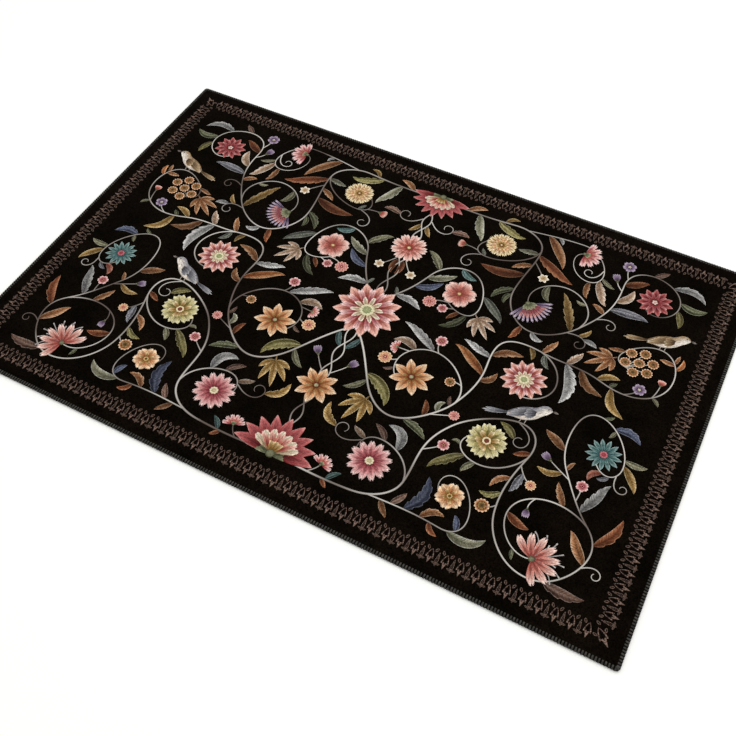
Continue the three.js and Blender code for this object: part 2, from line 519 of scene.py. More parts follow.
def add_button(motifs, centre, radius, rise, core, rim, level, sides, twin=True):
    """A low round dome, such as a flower's heart, a berry or a stamen's head."""
    turns = np.arange(sides) * 2 * math.pi / sides
    base = PILE_TOP + EDGE_RISE + level * LAYER_RISE
    rings = [np.column_stack([beside(centre, turns, radius * share), np.full(sides, z)])
             for share, z in ((1.0, PILE_TOP - ROOT_DEPTH), (1.0, base), (0.62, base + 0.75 * rise))]
    points = np.vstack([*rings, [[*centre, base + rise]]])
    upper, top = 2 * sides, 3 * sides
    fan = [(upper + i, upper + (i + 1) % sides, top) for i in range(sides)]
    shades = (dye(rim), blend(dye(rim), dye(core), 0.7), dye(core))
    dyes = np.repeat(shades, (2 * sides, sides, 1), 0)
    motifs.put(points, points[:, :2] - np.array(centre), dyes, ring_faces(3, sides)[:-1] + fan, twin)


# Flowers: each kind is its petal rings, from the back to the front, in shares of its radius, and its
# heart. A ring with a span under one is a fan, for a flower that is seen from its side.
Ring = namedtuple("Ring", "count start length width kind dyes span bend", defaults=(1.0, 0.0))
Heart = namedtuple("Heart", "radius core rim dots dot_dye")
ROSE = ("6f1c24", "b75c61", "f2bcb5", "fce6de", "661620")
ROSE_DEEP = ("57141c", "a0424a", "d88f89", "f1cbc2", "440f15")
CRIMSON = ("360d0d", "862a2b", "b85b5a", "e2ab9f", "260a0c")
PEACH = ("86401a", "c67e3f", "f4cb98", "fdead0", "582709")
GOLD = ("674716", "aa7f37", "e8cc90", "f9ebc8", "462e0c")
OLIVE_GOLD = ("514517", "8f813b", "d6ca8c", "f2eac4", "352e0d")
TEAL = ("1b3336", "456c6b", "7f9f9b", "b7cac4", "122628")
SALMON = ("8a342e", "c16c5a", "f5c4b3", "fde6da", "641f1c")
CORAL = ("78221d", "b4503f", "eeae99", "fbdacb", "5a1612")
CREAM = ("92704a", "dcc6a2", "f3e8d0", "fdf6ea", "74532f")
VIOLET = ("3c2a42", "755d7d", "ab95ae", "d4c6d4", "2b1d31")
LEAFY = ("3b3e2a", "707251", "a09f7c", "c7c4a4", "2a2c1c")
PALE_THREAD = ("5f5855", "8f8784", "b5aeaa", "b5aeaa", "5f5855")
NO_HEART = Heart(0.11, "77775a", "45472f", 0, "77775a")

FLOWERS = {
    "aster": (Ring(13, 0.14, 0.86, 0.16, "notch", ROSE), Ring(11, 0.12, 0.6, 0.12, "slim", ROSE_DEEP),
              Heart(0.17, "c4b184", "6d5a38", 9, "d9cba0")),
    "blue_daisy": (Ring(13, 0.16, 0.84, 0.125, "round", TEAL), Ring(11, 0.14, 0.56, 0.09, "round", TEAL),
                   Heart(0.19, "9a3a44", "551a24", 9, "bb5f68")),
    "star": (Ring(8, 0.1, 0.9, 0.225, "point", PEACH), Ring(8, 0.08, 0.5, 0.1, "point", GOLD),
             Heart(0.15, "a5a075", "5f5f3c", 8, "612c14")),
    "rosette": (Ring(13, 0.2, 0.8, 0.185, "point", CORAL), Ring(13, 0.18, 0.62, 0.15, "notch", ROSE),
                Ring(10, 0.12, 0.42, 0.11, "round", CREAM), Heart(0.2, "9da36e", "4f5a34", 10, "d9d0a0")),
    "dahlia": (Ring(11, 0.2, 0.8, 0.18, "point", CRIMSON), Ring(11, 0.14, 0.62, 0.15, "point", ROSE_DEEP),
               Ring(8, 0.08, 0.42, 0.12, "point", CRIMSON), Heart(0.12, "c79a8c", "6f2a2c", 5, "e0bdae")),
    "poppy": (Ring(7, 0.12, 0.88, 0.34, "fringe", OLIVE_GOLD), Ring(6, 0.1, 0.55, 0.23, "notch", GOLD),
              Heart(0.2, "7a3a2a", "3d1c12", 11, "e2cf9a")),
    "wild_rose": (Ring(5, 0.08, 0.92, 0.43, "notch", SALMON), Heart(0.15, "d6bd7c", "8a4a2e", 9, "8a4a2e")),
    "orange_rose": (Ring(6, 0.08, 0.92, 0.4, "notch", PEACH), Ring(5, 0.08, 0.6, 0.26, "round", GOLD),
                    Heart(0.17, "5f4a24", "33260f", 9, "caa45a")),
    "cosmos": (Ring(9, 0.12, 0.88, 0.24, "fringe", SALMON), Ring(8, 0.1, 0.45, 0.12, "round", CORAL),
               Heart(0.15, "ddc88c", "9a5a34", 7, "7c3c20")),
    "marigold": (Ring(15, 0.2, 0.8, 0.16, "fringe", GOLD), Ring(12, 0.14, 0.62, 0.15, "fringe", PEACH),
                 Ring(9, 0.06, 0.44, 0.12, "fringe", GOLD), Heart(0.12, "e2cc8c", "8f622a", 5, "6b4018")),
    "pompom": (Ring(11, 0.3, 0.68, 0.24, "round", CORAL), Ring(9, 0.16, 0.56, 0.21, "round", ROSE),
               Ring(6, 0.04, 0.42, 0.18, "round", CORAL), Heart(0.1, "ecc0ae", "c06052", 0, "ecc0ae")),
    "peach_pompom": (Ring(11, 0.3, 0.68, 0.24, "round", PEACH), Ring(9, 0.16, 0.56, 0.21, "round", PEACH),
                     Ring(6, 0.04, 0.42, 0.18, "round", CORAL), Heart(0.1, "f0d2b0", "cd8c5b", 0, "f0d2b0")),
    "pink_blossom": (Ring(6, 0.1, 0.9, 0.38, "notch", ROSE), Heart(0.24, "7f2431", "551018", 5, "dfc287")),
    "violet_blossom": (Ring(6, 0.1, 0.9, 0.37, "notch", VIOLET),
                       Heart(0.22, "cdbd8c", "5a3450", 5, "e4dab6")),
    "cream_blossom": (Ring(6, 0.08, 0.92, 0.33, "point", CREAM),
                      Heart(0.22, "a8743f", "6e3f1e", 5, "e2c482")),
    "gold_button": (Ring(12, 0.5, 0.48, 0.2, "round", PEACH), Heart(0.52, "261d0c", "b88a48", 5, "3a2c12")),
    "rose_button": (Ring(12, 0.46, 0.52, 0.2, "round", CREAM), Heart(0.5, "7a3a40", "b47a78", 6, "d9a49c")),
    "bud": (Ring(2, 0.02, 0.62, 0.16, "point", LEAFY, 0.17), Ring(4, 0.1, 0.9, 0.2, "point", VIOLET, 0.12),
            NO_HEART),
    "rose_bud": (Ring(2, 0.02, 0.6, 0.16, "point", LEAFY, 0.2), Ring(5, 0.1, 0.9, 0.2, "notch", CORAL, 0.17),
                 NO_HEART),
    "thistle": (Ring(13, 0.2, 0.8, 0.05, "fringe", VIOLET, 0.42),
                Ring(9, 0.2, 0.62, 0.05, "fringe", ROSE_DEEP, 0.3),
                Ring(5, 0.0, 0.4, 0.1, "point", LEAFY, 0.38), NO_HEART),
    "carnation": (Ring(6, 0.16, 0.84, 0.165, "fringe", ROSE, 0.5),
                  Ring(5, 0.14, 0.6, 0.12, "fringe", CORAL, 0.4),
                  Ring(3, 0.0, 0.42, 0.1, "point", LEAFY, 0.26), NO_HEART),
    "lily": (Ring(7, 0.1, 0.98, 0.015, "thread", PALE_THREAD, 0.42, 1.5),
             Ring(8, 0.06, 0.86, 0.13, "notch", SALMON, 0.66, -0.5),
             Ring(6, 0.1, 0.72, 0.015, "thread", PALE_THREAD, 0.3, 1.3), NO_HEART),
    "palmette": (Ring(4, 0.0, 0.62, 0.12, "point", LEAFY, 0.62, 0.6),
                 Ring(9, 0.12, 0.88, 0.145, "point", CRIMSON, 0.52, 0.5),
                 Ring(7, 0.1, 0.7, 0.13, "point", CREAM, 0.4, 0.4),
                 Ring(5, 0.08, 0.52, 0.12, "notch", CORAL, 0.3),
                 Ring(3, 0.05, 0.32, 0.1, "round", GOLD, 0.2), NO_HEART),
}
SIDE_VIEWS = ("bud", "rose_bud", "thistle", "carnation", "lily", "palmette")
LAYERS_IN_RING = 3


def add_flower(petals, hearts, kind, place, radius, turn, level=4, twin=True):
    """A flower's petal rings, its heart and the dots round the heart. One that is seen from its side
    starts at its place and opens out as its turn points."""
    *rings, heart = FLOWERS[kind]
    for order, ring in enumerate(rings):
        for i in range(ring.count):
            if ring.span < 1:
                share = (i + 0.5) / ring.count - 0.5
                raised = 1 - abs(2 * share)
            else:
                share = (i + 0.5 * (order % 2)) / ring.count
                raised = 0.5 * (i % 2)
            heading = turn + ring.span * share * 2 * math.pi
            add_petal(petals, beside(place, heading, ring.start * radius), heading, ring.length * radius,
                      ring.width * radius, ring.kind, ring.dyes, level + raised, twin, 2 * share * ring.bend)
        level += LAYERS_IN_RING
    middle = heart.radius * radius
    add_button(hearts, place, middle, 0.3, heart.core, heart.rim, level + 2, 14, twin)
    for i in range(heart.dots):
        spot = beside(place, turn + i * 2 * math.pi / heart.dots, middle * 0.86)
        add_button(hearts, spot, max(0.07 * radius, 0.5), 0.2, heart.dot_dye, heart.dot_dye,
                   level + 6, 6, twin)


def flower_room(kind, place, radius, turn):
    """The middle and radius of the ground that a flower covers."""
    if kind in ("lily", "palmette"):
        return beside(place, turn, 0.42 * radius), 0.85 * radius
    if kind in SIDE_VIEWS:
        return beside(place, turn, 0.5 * radius), 0.58 * radius
    return place, radius


# Birds: the body's middle line from the tail's root to the bill's, ahead of the feet and over them, with
# its half width, and then the feathers and limbs that lie on it
BIRD_BODY = ((-20, 7, 2), (-14, 9.5, 5.4), (-7, 12, 8.4), (0, 14.5, 9.8), (7, 17.5, 9.4), (13, 21, 7.8),
             (17, 25, 6.6), (20.5, 28.5, 6.9), (24.5, 30.5, 6.4), (28, 31, 4.2), (30.5, 31, 0.6))
# How far each column of the body has gone from the colour of the back to that of the belly
BELLY_SHARE = np.array([0.0, 0.0, 0.15, 0.5, 0.9, 1.0, 0.75])
BirdPart = namedtuple("BirdPart", "ahead left turn length half_width kind dyes level")
SLATE_PLUME = ("303036", "67666e", "98969a", "dedad6", "232327")
BROWN_PLUME = ("382818", "7a5d3c", "ad9068", "e6d2ac", "241a10")
CREAM_PLUME = ("8f8071", "cdbdab", "ece2d4", "f7f1e7", "8f8071")
BEAK = ("3a342f", "6a6058", "8b8077", "8b8077", "3a342f")
LEG = ("6a5f58", "a59a90", "a59a90", "a59a90", "6a5f58")
BIRD_PARTS = (
    BirdPart(-3, -1, 1.25, 10, 0.5, "thread", LEG, 0),
    BirdPart(4, -1, 1.45, 11, 0.5, "thread", LEG, 0),
    BirdPart(-14, 10, 3.50, 34, 2.2, "slim", "back", 0),
    BirdPart(-14, 9, 3.40, 37, 2.2, "slim", "back", 1),
    BirdPart(-14, 8, 3.28, 33, 2.0, "slim", "back", 0),
    BirdPart(11, 18, 3.58, 34, 3.0, "slim", "back", 12),
    BirdPart(11, 20, 3.52, 31, 3.0, "slim", "back", 14),
    BirdPart(11, 21, 3.44, 27, 2.8, "slim", "back", 16),
    BirdPart(11, 22, 3.36, 22, 2.6, "slim", "back", 18),
    BirdPart(13, 18, 3.80, 14, 3.4, "egg", "back", 20),
    BirdPart(13, 20, 3.56, 15, 3.4, "egg", "back", 21),
    BirdPart(13, 22, 3.34, 14, 3.2, "egg", "back", 22),
    BirdPart(30, 31.4, -0.06, 8, 1.5, "point", BEAK, 4),
    BirdPart(29.5, 32.2, 3.42, 14, 0.8, "slim", CREAM_PLUME, 26),
)
BIRD_EYE = (25.2, 31.6)


def smoothed(path, passes=12):
    """Eases a path's changes of curve, as a hand-drawn line would, with its two ends held."""
    path = path.copy()
    for _ in range(passes):
        path[1:-1] = (path[:-2] + 2 * path[1:-1] + path[2:]) / 4
    return path


def ways_along(line):
    """The way that a line goes at each of its points, as a step of length one."""
    ways = np.gradient(line, axis=0)
    return ways / np.linalg.norm(ways, axis=1)[:, None]


def add_bird(feathers, hearts, place, heading, plume):
    """A small perched songbird, seen from its side, with its feet at its place."""
    shares = np.linspace(0, 1, 4 * len(BIRD_BODY) - 3)
    line = smoothed(np.column_stack([np.interp(shares, np.linspace(0, 1, len(BIRD_BODY)), column)
                                     for column in np.array(BIRD_BODY).T]), 5)
    middle, half = line[:, :2], line[:, 2]
    ways = ways_along(middle)
    across = -half[:, None] * PETAL_COLUMNS
    places = beside(place, heading,
                    middle[:, :1] - ways[:, 1:] * across, middle[:, 1:] + ways[:, :1] * across)
    back, belly = (blend(dye(dyes[1]), dye(dyes[2]), shares)[:, None] for dyes in (plume, CREAM_PLUME))
    feathers.strip(places, crown(PETAL_COLUMNS, half, 8.0, 0.05), pairs(across, 60 * shares[:, None]),
                   blend(back, belly, BELLY_SHARE), 3)
    for part in BIRD_PARTS:
        add_petal(feathers, beside(place, heading, part.ahead, part.left), heading + part.turn, part.length,
                  part.half_width, part.kind, plume if part.dyes == "back" else part.dyes, part.level)
    eye = beside(place, heading, *BIRD_EYE)
    for radius, colour, level in ((1.7, "e4dcd0", 34), (1.15, "17120f", 40)):
        add_button(hearts, eye, radius, 0.15, colour, colour, level, 8)


# The field's scrolls on the right half. Each is a ring that a stem runs round, with a flower within:
# its place and radius on the mat, which way the stem turns, the flower, and the flower's radius
Scroll = namedtuple("Scroll", "x y radius turn flower size", defaults=(None, 0))
SCROLLS = {
    "low_inner": Scroll(100, -190, 50, 1, "aster", 27),
    "low_middle": Scroll(212, -204, 38, 1, "orange_rose", 17),
    "low_outer": Scroll(330, -192, 54, 1, "lily", 34),
    "mid_low": Scroll(228, -118, 46, -1, "poppy", 24),
    "inner_low": Scroll(105, -62, 58, 1, "star", 28),
    "outer_low": Scroll(345, -62, 54, -1, "blue_daisy", 22),
    "middle": Scroll(222, 5, 56, -1, "rosette", 30),
    "inner_high": Scroll(98, 75, 54, -1, "wild_rose", 23),
    "outer_high": Scroll(348, 75, 56, 1, "gold_button", 7.6),
    "mid_high": Scroll(215, 128, 46, 1, "thistle", 32),
    "top_inner": Scroll(108, 196, 48, -1, "marigold", 21),
    "top_middle": Scroll(222, 214, 34, -1, "carnation", 24),
    "top_outer": Scroll(335, 198, 50, -1, "dahlia", 24),
}
CLUSTERS = ("gold_button", "rose_button")
# Each vine: where it starts, the scrolls that it runs round in turn, and its half width at the start
Vine = namedtuple("Vine", "start scrolls half_width")
VINES = (
    Vine((0, -240), ("low_inner", "mid_low", "low_outer", "outer_low"), 1.55),
    Vine((117, -237), ("low_middle",), 1.15),
    Vine((0, -30), ("inner_low", "middle", "outer_high"), 1.55),
    Vine((0, 25), ("inner_high",), 1.3),
    Vine((0, 240), ("top_inner", "mid_high", "top_outer"), 1.45),
    Vine((126, 241), ("top_middle",), 1.1),
)
STEM_STEP = 2.0
STEM_SINK = 0.12
CURL_SWEEP = math.radians(225)
LAST_CURL_SWEEP = CURL_SWEEP + math.radians(120)
CURL_END = 0.30
SIDE_VIEW_CURL_END = 0.52
FIELD_HALF_LONG = 405
FIELD_HALF_SHORT = 256
DRIFT = 13


def drifted(points):
    """Lets the drawn scrolls drift by some millimetres, so that none is a perfect ring. The drift dies
    out at the short axis and at the field's edges."""
    x, y = points[..., 0], points[..., 1]
    fade_x = np.sqrt(np.clip(np.sin(math.pi * np.clip(x / FIELD_HALF_LONG, 0, 1)), 0, 1))
    fade_y = np.sqrt(np.clip(np.cos(math.pi / 2 * np.clip(y / FIELD_HALF_SHORT, -1, 1)), 0, 1))
    return pairs(x + DRIFT * fade_x * np.sin(y / 36 + x / 85), y + DRIFT * fade_y * np.sin(x / 40 - y / 75))


def tangent(start, scroll):
    """The line that leaves one ring and meets the next, as the angle that it meets each of them at."""
    dx, dy = scroll.x - start.x, scroll.y - start.y
    lean = math.asin((scroll.turn * scroll.radius - start.turn * start.radius) / math.hypot(dx, dy))
    way = math.atan2(dy, dx) - lean
    return way - start.turn * math.pi / 2, way - scroll.turn * math.pi / 2


def arc_points(scroll, from_angle, sweep, end_share=1.0):
    """Points round a scroll from an angle, by a sweep, drawing in to a share of its radius."""
    count = max(2, int(abs(sweep) * scroll.radius / STEM_STEP))
    shares = np.linspace(0, 1, count + 1)
    radii = scroll.radius * (1 - (1 - end_share) * shares ** 1.1)
    return beside(scroll, from_angle + scroll.turn * sweep * shares, radii)


def straight(a, b):
    count = max(1, int(math.dist(a, b) / STEM_STEP))
    return np.array(a) + np.linspace(0, 1, count + 1)[:, None] * (np.array(b) - np.array(a))


def curl_end(scroll):
    return SIDE_VIEW_CURL_END if scroll.flower in SIDE_VIEWS else CURL_END


def tapered(path, first, last, half_width=1.0):
    """A stem: its path, and its half width at each point, which goes between two shares."""
    return path, np.linspace(first, last, len(path)) * half_width


def run_vine(vine):
    """The vine's stems: its main run past every scroll, and the curl that winds into each of them."""
    curls = []
    main = [np.array([vine.start], float)]
    last, last_name, arrived = Scroll(*vine.start, 0, 0), None, 0.0
    for name in vine.scrolls:
        scroll = SCROLLS[name]
        leaves, arrives = tangent(last, scroll)
        if last_name:
            main.append(arc_points(last, arrived, (last.turn * (leaves - arrived)) % (2 * math.pi))[1:])
            curl = arc_points(last, leaves, CURL_SWEEP, curl_end(last))
            curls.append((last_name, tapered(curl, 0.8, 0.55, vine.half_width)))
        main.append(straight(beside(last, leaves, last.radius), beside(scroll, arrives, scroll.radius))[1:])
        last, last_name, arrived = scroll, name, arrives
    main.append(arc_points(last, arrived, LAST_CURL_SWEEP, curl_end(last))[1:])
    return [(last_name, tapered(np.vstack(main), 1.0, 0.55, vine.half_width)), *curls]


def headings_of(path):
    steps = np.gradient(path, axis=0)
    return np.arctan2(steps[:, 1], steps[:, 0])


class Ground:
    """The right half of the field on a 1 mm grid, which knows where something already lies."""

    LOW = np.array([-20, -300])
    SIZE = np.array([500, 600])
    AXIS_GAP = 2

    def __init__(self):
        self.taken = np.ones(self.SIZE, bool)
        (low_x, low_y), (high_x, high_y) = ((self.AXIS_GAP, -FIELD_HALF_SHORT) - self.LOW,
                                            (FIELD_HALF_LONG, FIELD_HALF_SHORT) - self.LOW)
        self.taken[low_x:high_x, low_y:high_y] = False

    def cells(self, points):
        spots = np.clip(np.rint(points).astype(int) - self.LOW, 0, self.SIZE - 1)
        return spots[..., 0], spots[..., 1]

    def is_free(self, points):
        return not self.taken[self.cells(points)].any()

    def claim(self, points, margin):
        reach = range(-math.ceil(margin), math.ceil(margin) + 1)
        for i in reach:
            for j in reach:
                if i * i + j * j <= margin * margin:
                    self.taken[self.cells(points + np.array([i, j]))] = True


# How far other things keep off what has grown
CLEAR_OF_STEM = 3.6
CLEAR_OF_BIRD = 3.0
CLEAR_OF_LEAF = 2.6
CLEAR_OF_FLOWER = 2.5
CLEAR_OF_FINE_THING = 2.0
# How far from a stem's edge a shoot of it may first need free ground, and how often one is tried
SHOOT_FREE_FROM = 5.0
TRIES = 6


def clear_from(count, length, half):
    """The first of so many points along a shoot that lies clear of the stem it grows from."""
    return 1 + int(count * (SHOOT_FREE_FROM + half) / length)


def disc(centre, radius):
    """Points 1 mm apart all over a disc."""
    span = np.arange(-radius, radius + 1, 1.0)
    x, y = np.meshgrid(span, span)
    return np.array(centre) + pairs(x, y)[x * x + y * y <= radius * radius]


def grow(stems, chance, every, most, shoot):
    """Tries a shoot at places along the stems in a mixed order, each with the stem's heading and half
    width there, until so many have grown."""
    spots = [(path[i], angle, half[i]) for path, half in stems
             for i, angle in list(enumerate(headings_of(path)))[3:-3:every]]
    chance.shuffle(spots)
    shoots = []
    for place, angle, half in spots:
        if len(shoots) >= most:
            break
        made = shoot(place, angle, half, shoots)
        if made is not None:
            shoots.append(made)
    return shoots


BIRDS = 2
BIRDS_APART = 190
# The least cosine of a stem's slope that a bird sits on
SEAT_SLOPE = 0.55


def grow_birds(ground, stems, feathers, hearts, chance):
    """Birds perch on the stems where the field is open, the right way up, well apart."""
    reach = np.array([(ahead, left) for ahead in range(-47, 39, 3) for left in range(7, 38, 3)
                      if abs(left - 18 - 0.4 * ahead) < 16])
    tail = np.array([(ahead, 12 + ahead * 0.28 + side)
                     for ahead in range(-52, -12, 2) for side in (-4, -1, 2, 5)])

    def perch(place, angle, half, perched):
        for heading in (angle, angle + math.pi):
            body = beside(place, heading, *reach.T)
            far = all(math.dist(place, other) > BIRDS_APART for other in perched)
            if far and math.cos(heading) > SEAT_SLOPE and ground.is_free(body):
                plume = (SLATE_PLUME, BROWN_PLUME)[len(perched) % 2]
                add_bird(feathers, hearts, beside(place, heading, 0, 0.5 * half), heading, plume)
                ground.claim(body, CLEAR_OF_BIRD)
                ground.claim(beside(place, heading, *tail.T), CLEAR_OF_FINE_THING)
                return place

    grow(stems, chance, 1, BIRDS, perch)


# Leaves grow in passes, the longest first: length, half width, how many at most, and the scallops that
# such a leaf may have on its left and right edges
LeafPass = namedtuple("LeafPass", "length half_width most scallops")
LONG_LEAVES = (
    LeafPass(62, 10.4, 9, ((6, 0), (0, 6), (5, 5), (0, 0))),
    LeafPass(51, 9.6, 14, ((5, 0), (0, 5), (0, 0), (0, 4))),
)
SHORT_LEAVES = (
    LeafPass(40, 8.2, 18, ((4, 0), (0, 4), (0, 0), (0, 0))),
    LeafPass(31, 6.8, 26, ((0, 0), (0, 0), (4, 0))),
    LeafPass(23, 5.4, 26, ((0, 0),)),
    LeafPass(15, 3.9, 16, ((0, 0),)),
)


def grow_leaves(ground, stems, passes, green, warm, chance):
    """Sets leaves along the stems wherever there is room, so that none meets a stem, flower or leaf."""
    names = [name for name, dyes in LEAF_DYES.items() for _ in range(dyes.often)]
    for wanted in passes:

        def sprout(place, angle, half, _):
            leaf = fit_leaf(ground, place, angle, half, wanted, chance)
            if leaf:
                colour = chance.choice(names)
                add_leaf(warm if colour in WARM_LEAVES else green, leaf, colour,
                         chance.uniform(0.46, 1.02), chance.choice((0, 1)), chance.random() < 0.5)
                ground.claim(leaf.places, CLEAR_OF_LEAF)
            return leaf

        grow(stems, chance, 2, wanted.most, sprout)


def fit_leaf(ground, place, angle, half, wanted, chance):
    """Tries a leaf on either side of a stem, at a few angles and bends, and returns one that fits."""
    for _ in range(TRIES):
        side = chance.choice((-1, 1))
        heading = angle + side * chance.uniform(0.45, 1.05)
        bend = side * chance.choice((-1.3, -0.7, 0.6, 1.1)) * chance.uniform(0.6, 1.2)
        length = wanted.length * chance.uniform(0.88, 1.08)
        leaf = leaf_shape(beside(place, heading, half * 0.3), heading, length,
                          wanted.half_width * chance.uniform(0.85, 1.1), bend,
                          0.25 * side * chance.uniform(-1, 1), chance.choice(wanted.scallops))
        if ground.is_free(leaf.places[clear_from(len(leaf.shares), length, half):]):
            return leaf


# The turn and the share of the size of each lobe
LOBES = ((0.0, 1.0), (0.62, 0.86), (-0.62, 0.86), (1.3, 0.58), (-1.3, 0.58))
LOBE_HALF_WIDTH = 0.155
LOBE_STALK = 14
LOBED_LEAVES = 3


def grow_lobed_leaves(ground, stems, warm, chance):
    """A few broad leaves of five lobes each, on short stalks."""

    def sprout(place, angle, _, grown_leaves):
        for side in (-1, 1):
            size = chance.uniform(36, 44)
            heading = angle + side * chance.uniform(0.8, 1.3)
            joint = beside(place, heading, 9)
            lobes = [leaf_shape(joint, heading + turn, size * share, size * LOBE_HALF_WIDTH, -0.5 * turn)
                     for turn, share in LOBES]
            if all(ground.is_free(lobe.places[3:]) for lobe in lobes):
                colour = ("gold", "copper", "tan")[len(grown_leaves) % 3]
                add_leaf(warm, leaf_shape(place, heading, LOBE_STALK, 1.2), colour, 0.8)
                for level, lobe in enumerate(lobes):
                    add_leaf(warm, lobe, colour, 0.95, 5 - level)
                    ground.claim(lobe.places, CLEAR_OF_LEAF)
                return lobes

    grow(stems, chance, 2, LOBED_LEAVES, sprout)


SPRIGS = 22
SPRIG_RADIUS = 8.5
SPRIG_KINDS = ("pompom", "violet_blossom", "bud", "pink_blossom", "cream_blossom", "rose_bud",
               "peach_pompom", "carnation", "pink_blossom", "bud", "gold_button")


def grow_sprigs(ground, stems, petals, hearts, chance):
    """Small blossoms and buds on short curved stalks, set where the field has room for them."""

    def sprout(place, angle, half, stalks):
        kind = SPRIG_KINDS[len(stalks) % len(SPRIG_KINDS)]
        for _ in range(TRIES):
            side = chance.choice((-1, 1))
            length = chance.uniform(15, 32)
            size = SPRIG_RADIUS * chance.uniform(0.8, 1.2) * (1.5 if kind in SIDE_VIEWS else 1)
            shares = np.linspace(0, 1, int(length / 1.5) + 2)
            path, _ = spine(place, angle + side * chance.uniform(0.4, 0.9), length,
                            side * chance.uniform(-1.4, 1.0), 0.0, shares)
            turn = headings_of(path)[-1]
            middle, room = flower_room(kind, path[-1], size, turn)
            blossom = disc(middle, room + 1)
            if ground.is_free(path[clear_from(len(path), length, half):]) and ground.is_free(blossom):
                add_flower(petals, hearts, kind, path[-1], size, turn)
                ground.claim(path, CLEAR_OF_FINE_THING)
                ground.claim(blossom, CLEAR_OF_FINE_THING)
                return tapered(path, 1.0, 0.75)

    return grow(stems, chance, 3, SPRIGS, sprout)


TENDRILS = 9
TENDRIL_STEPS = 40


def grow_tendrils(ground, stems, chance):
    """Thin curls that wind up at their tips, in the room that is left beside the stems."""
    steps = np.linspace(0, 1, TENDRIL_STEPS)

    def sprout(place, angle, half, _):
        for side in (-1, 1):
            length = chance.uniform(46, 78)
            turning = angle + side * 0.55 + side * (0.2 * steps + 6.0 * steps ** 2.2)
            path = place + np.cumsum(pairs(np.cos(turning), np.sin(turning)), 0) * length / TENDRIL_STEPS
            skip = clear_from(TENDRIL_STEPS, length, half)
            if ground.is_free(path[skip:]) and ground.is_free(path[skip + 8:] + np.array([0.0, 2.0])):
                ground.claim(path, CLEAR_OF_FINE_THING)
                return tapered(path, 1.0, 0.6)

    return grow(stems, chance, 4, TENDRILS, sprout)


def add_cluster(ground, petals, hearts, kind, centre, root, radius, chance):
    """Seven like buttons close together, each with a stalk from the end of the curl."""
    stalks = []
    for i in range(7):
        reach = 0.0 if i == 6 else 2.3 * radius
        spot = beside(centre, i * math.pi / 3 + 0.35, reach)
        add_flower(petals, hearts, kind, spot, radius, chance.uniform(0, 1))
        stalks.append(tapered(straight(root, spot), 0.9, 0.7))
    ground.claim(disc(centre, 3.2 * radius), CLEAR_OF_FINE_THING)
    return stalks


# On the short axis itself: flowers that the two halves share, with their y, radius and turn
AxisFlower = namedtuple("AxisFlower", "kind y radius turn")
AXIS_FLOWERS = (
    AxisFlower("palmette", -243, 54, math.pi / 2),
    AxisFlower("star", -132, 28, math.pi / 2),
    AxisFlower("rosette", 5, 46, math.pi / 2),
    AxisFlower("cosmos", 132, 25, math.pi / 2),
    AxisFlower("palmette", 246, 44, -math.pi / 2),
)
# Two stems twine along the axis between these ends, crossing so many times
AXIS_STEMS = ((-198, -22, 5), (208, 30, 5))
AXIS_SWAY = 6.0
FIELD_FLOWER_LEVEL = 8
FIELD_SEED = 11


def draw_field():
    """Draws the right half of the field and its mirror image. Returns the stems and the motifs."""
    chance = random.Random(FIELD_SEED)
    ground = Ground()
    petals, hearts, feathers, green, warm = (Motifs() for _ in range(5))

    def set_flower(kind, place, radius, turn, twin):
        add_flower(petals, hearts, kind, place, radius, turn, FIELD_FLOWER_LEVEL, twin)
        ground.claim(disc(*flower_room(kind, place, radius, turn)), CLEAR_OF_FLOWER)

    stems, stalks = [], []
    ends = {}
    for vine in VINES:
        for name, (path, half) in run_vine(vine):
            path = smoothed(drifted(path))
            stems.append((path, half))
            ends[name] = (path[-1], headings_of(path)[-1])
    for low, high, waves in AXIS_STEMS:
        path = straight((0.0, low), (0.0, high))
        path[:, 0] = AXIS_SWAY * np.sin(np.linspace(0, waves * math.pi, len(path)))
        stems.append(tapered(path, 1.1, 1.1))
    for path, _ in stems:
        ground.claim(path, CLEAR_OF_STEM)
    for name, scroll in SCROLLS.items():
        place = drifted(np.array([scroll.x, scroll.y], float))
        end, heading = ends[name]
        if scroll.flower in CLUSTERS:
            stalks += add_cluster(ground, petals, hearts, scroll.flower, place, end, scroll.size, chance)
        elif scroll.flower in SIDE_VIEWS:
            set_flower(scroll.flower, end, scroll.size, heading + 0.35 * scroll.turn, True)
        else:
            set_flower(scroll.flower, place, scroll.size, chance.uniform(0, 1), True)
    for kind, y, radius, turn in AXIS_FLOWERS:
        set_flower(kind, np.array([0.0, y]), radius, turn, False)
    grow_birds(ground, stems, feathers, hearts, chance)
    grow_lobed_leaves(ground, stems, warm, chance)
    grow_leaves(ground, stems, LONG_LEAVES, green, warm, chance)
    sprigs = grow_sprigs(ground, stems, petals, hearts, chance)
    tendrils = grow_tendrils(ground, stems, chance)
    stems += stalks + sprigs + tendrils
    grow_leaves(ground, stems, SHORT_LEAVES, green, warm, chance)
    return stems, petals, hearts, feathers, green, warm


def new_tree(name, inputs):
    """An empty geometry tree with named inputs, and those inputs as sockets."""
    tree = bpy.data.node_groups.new(name, "GeometryNodeTree")
    tree.interface.new_socket("Geometry", in_out="INPUT", socket_type="NodeSocketGeometry")
    for label, kind in inputs.items():
        tree.interface.new_socket(label, in_out="INPUT", socket_type="NodeSocket" + kind)
    tree.interface.new_socket("Geometry", in_out="OUTPUT", socket_type="NodeSocketGeometry")
    return tree, tree.nodes.new("NodeGroupInput").outputs


def end_tree(tree, geometry, finish):
    real = add(tree, "GeometryNodeRealizeInstances", [geometry])
    painted = add(tree, "GeometryNodeSetMaterial", {"Geometry": real, "Material": finish})
    add(tree, "NodeGroupOutput", [painted])
    return tree


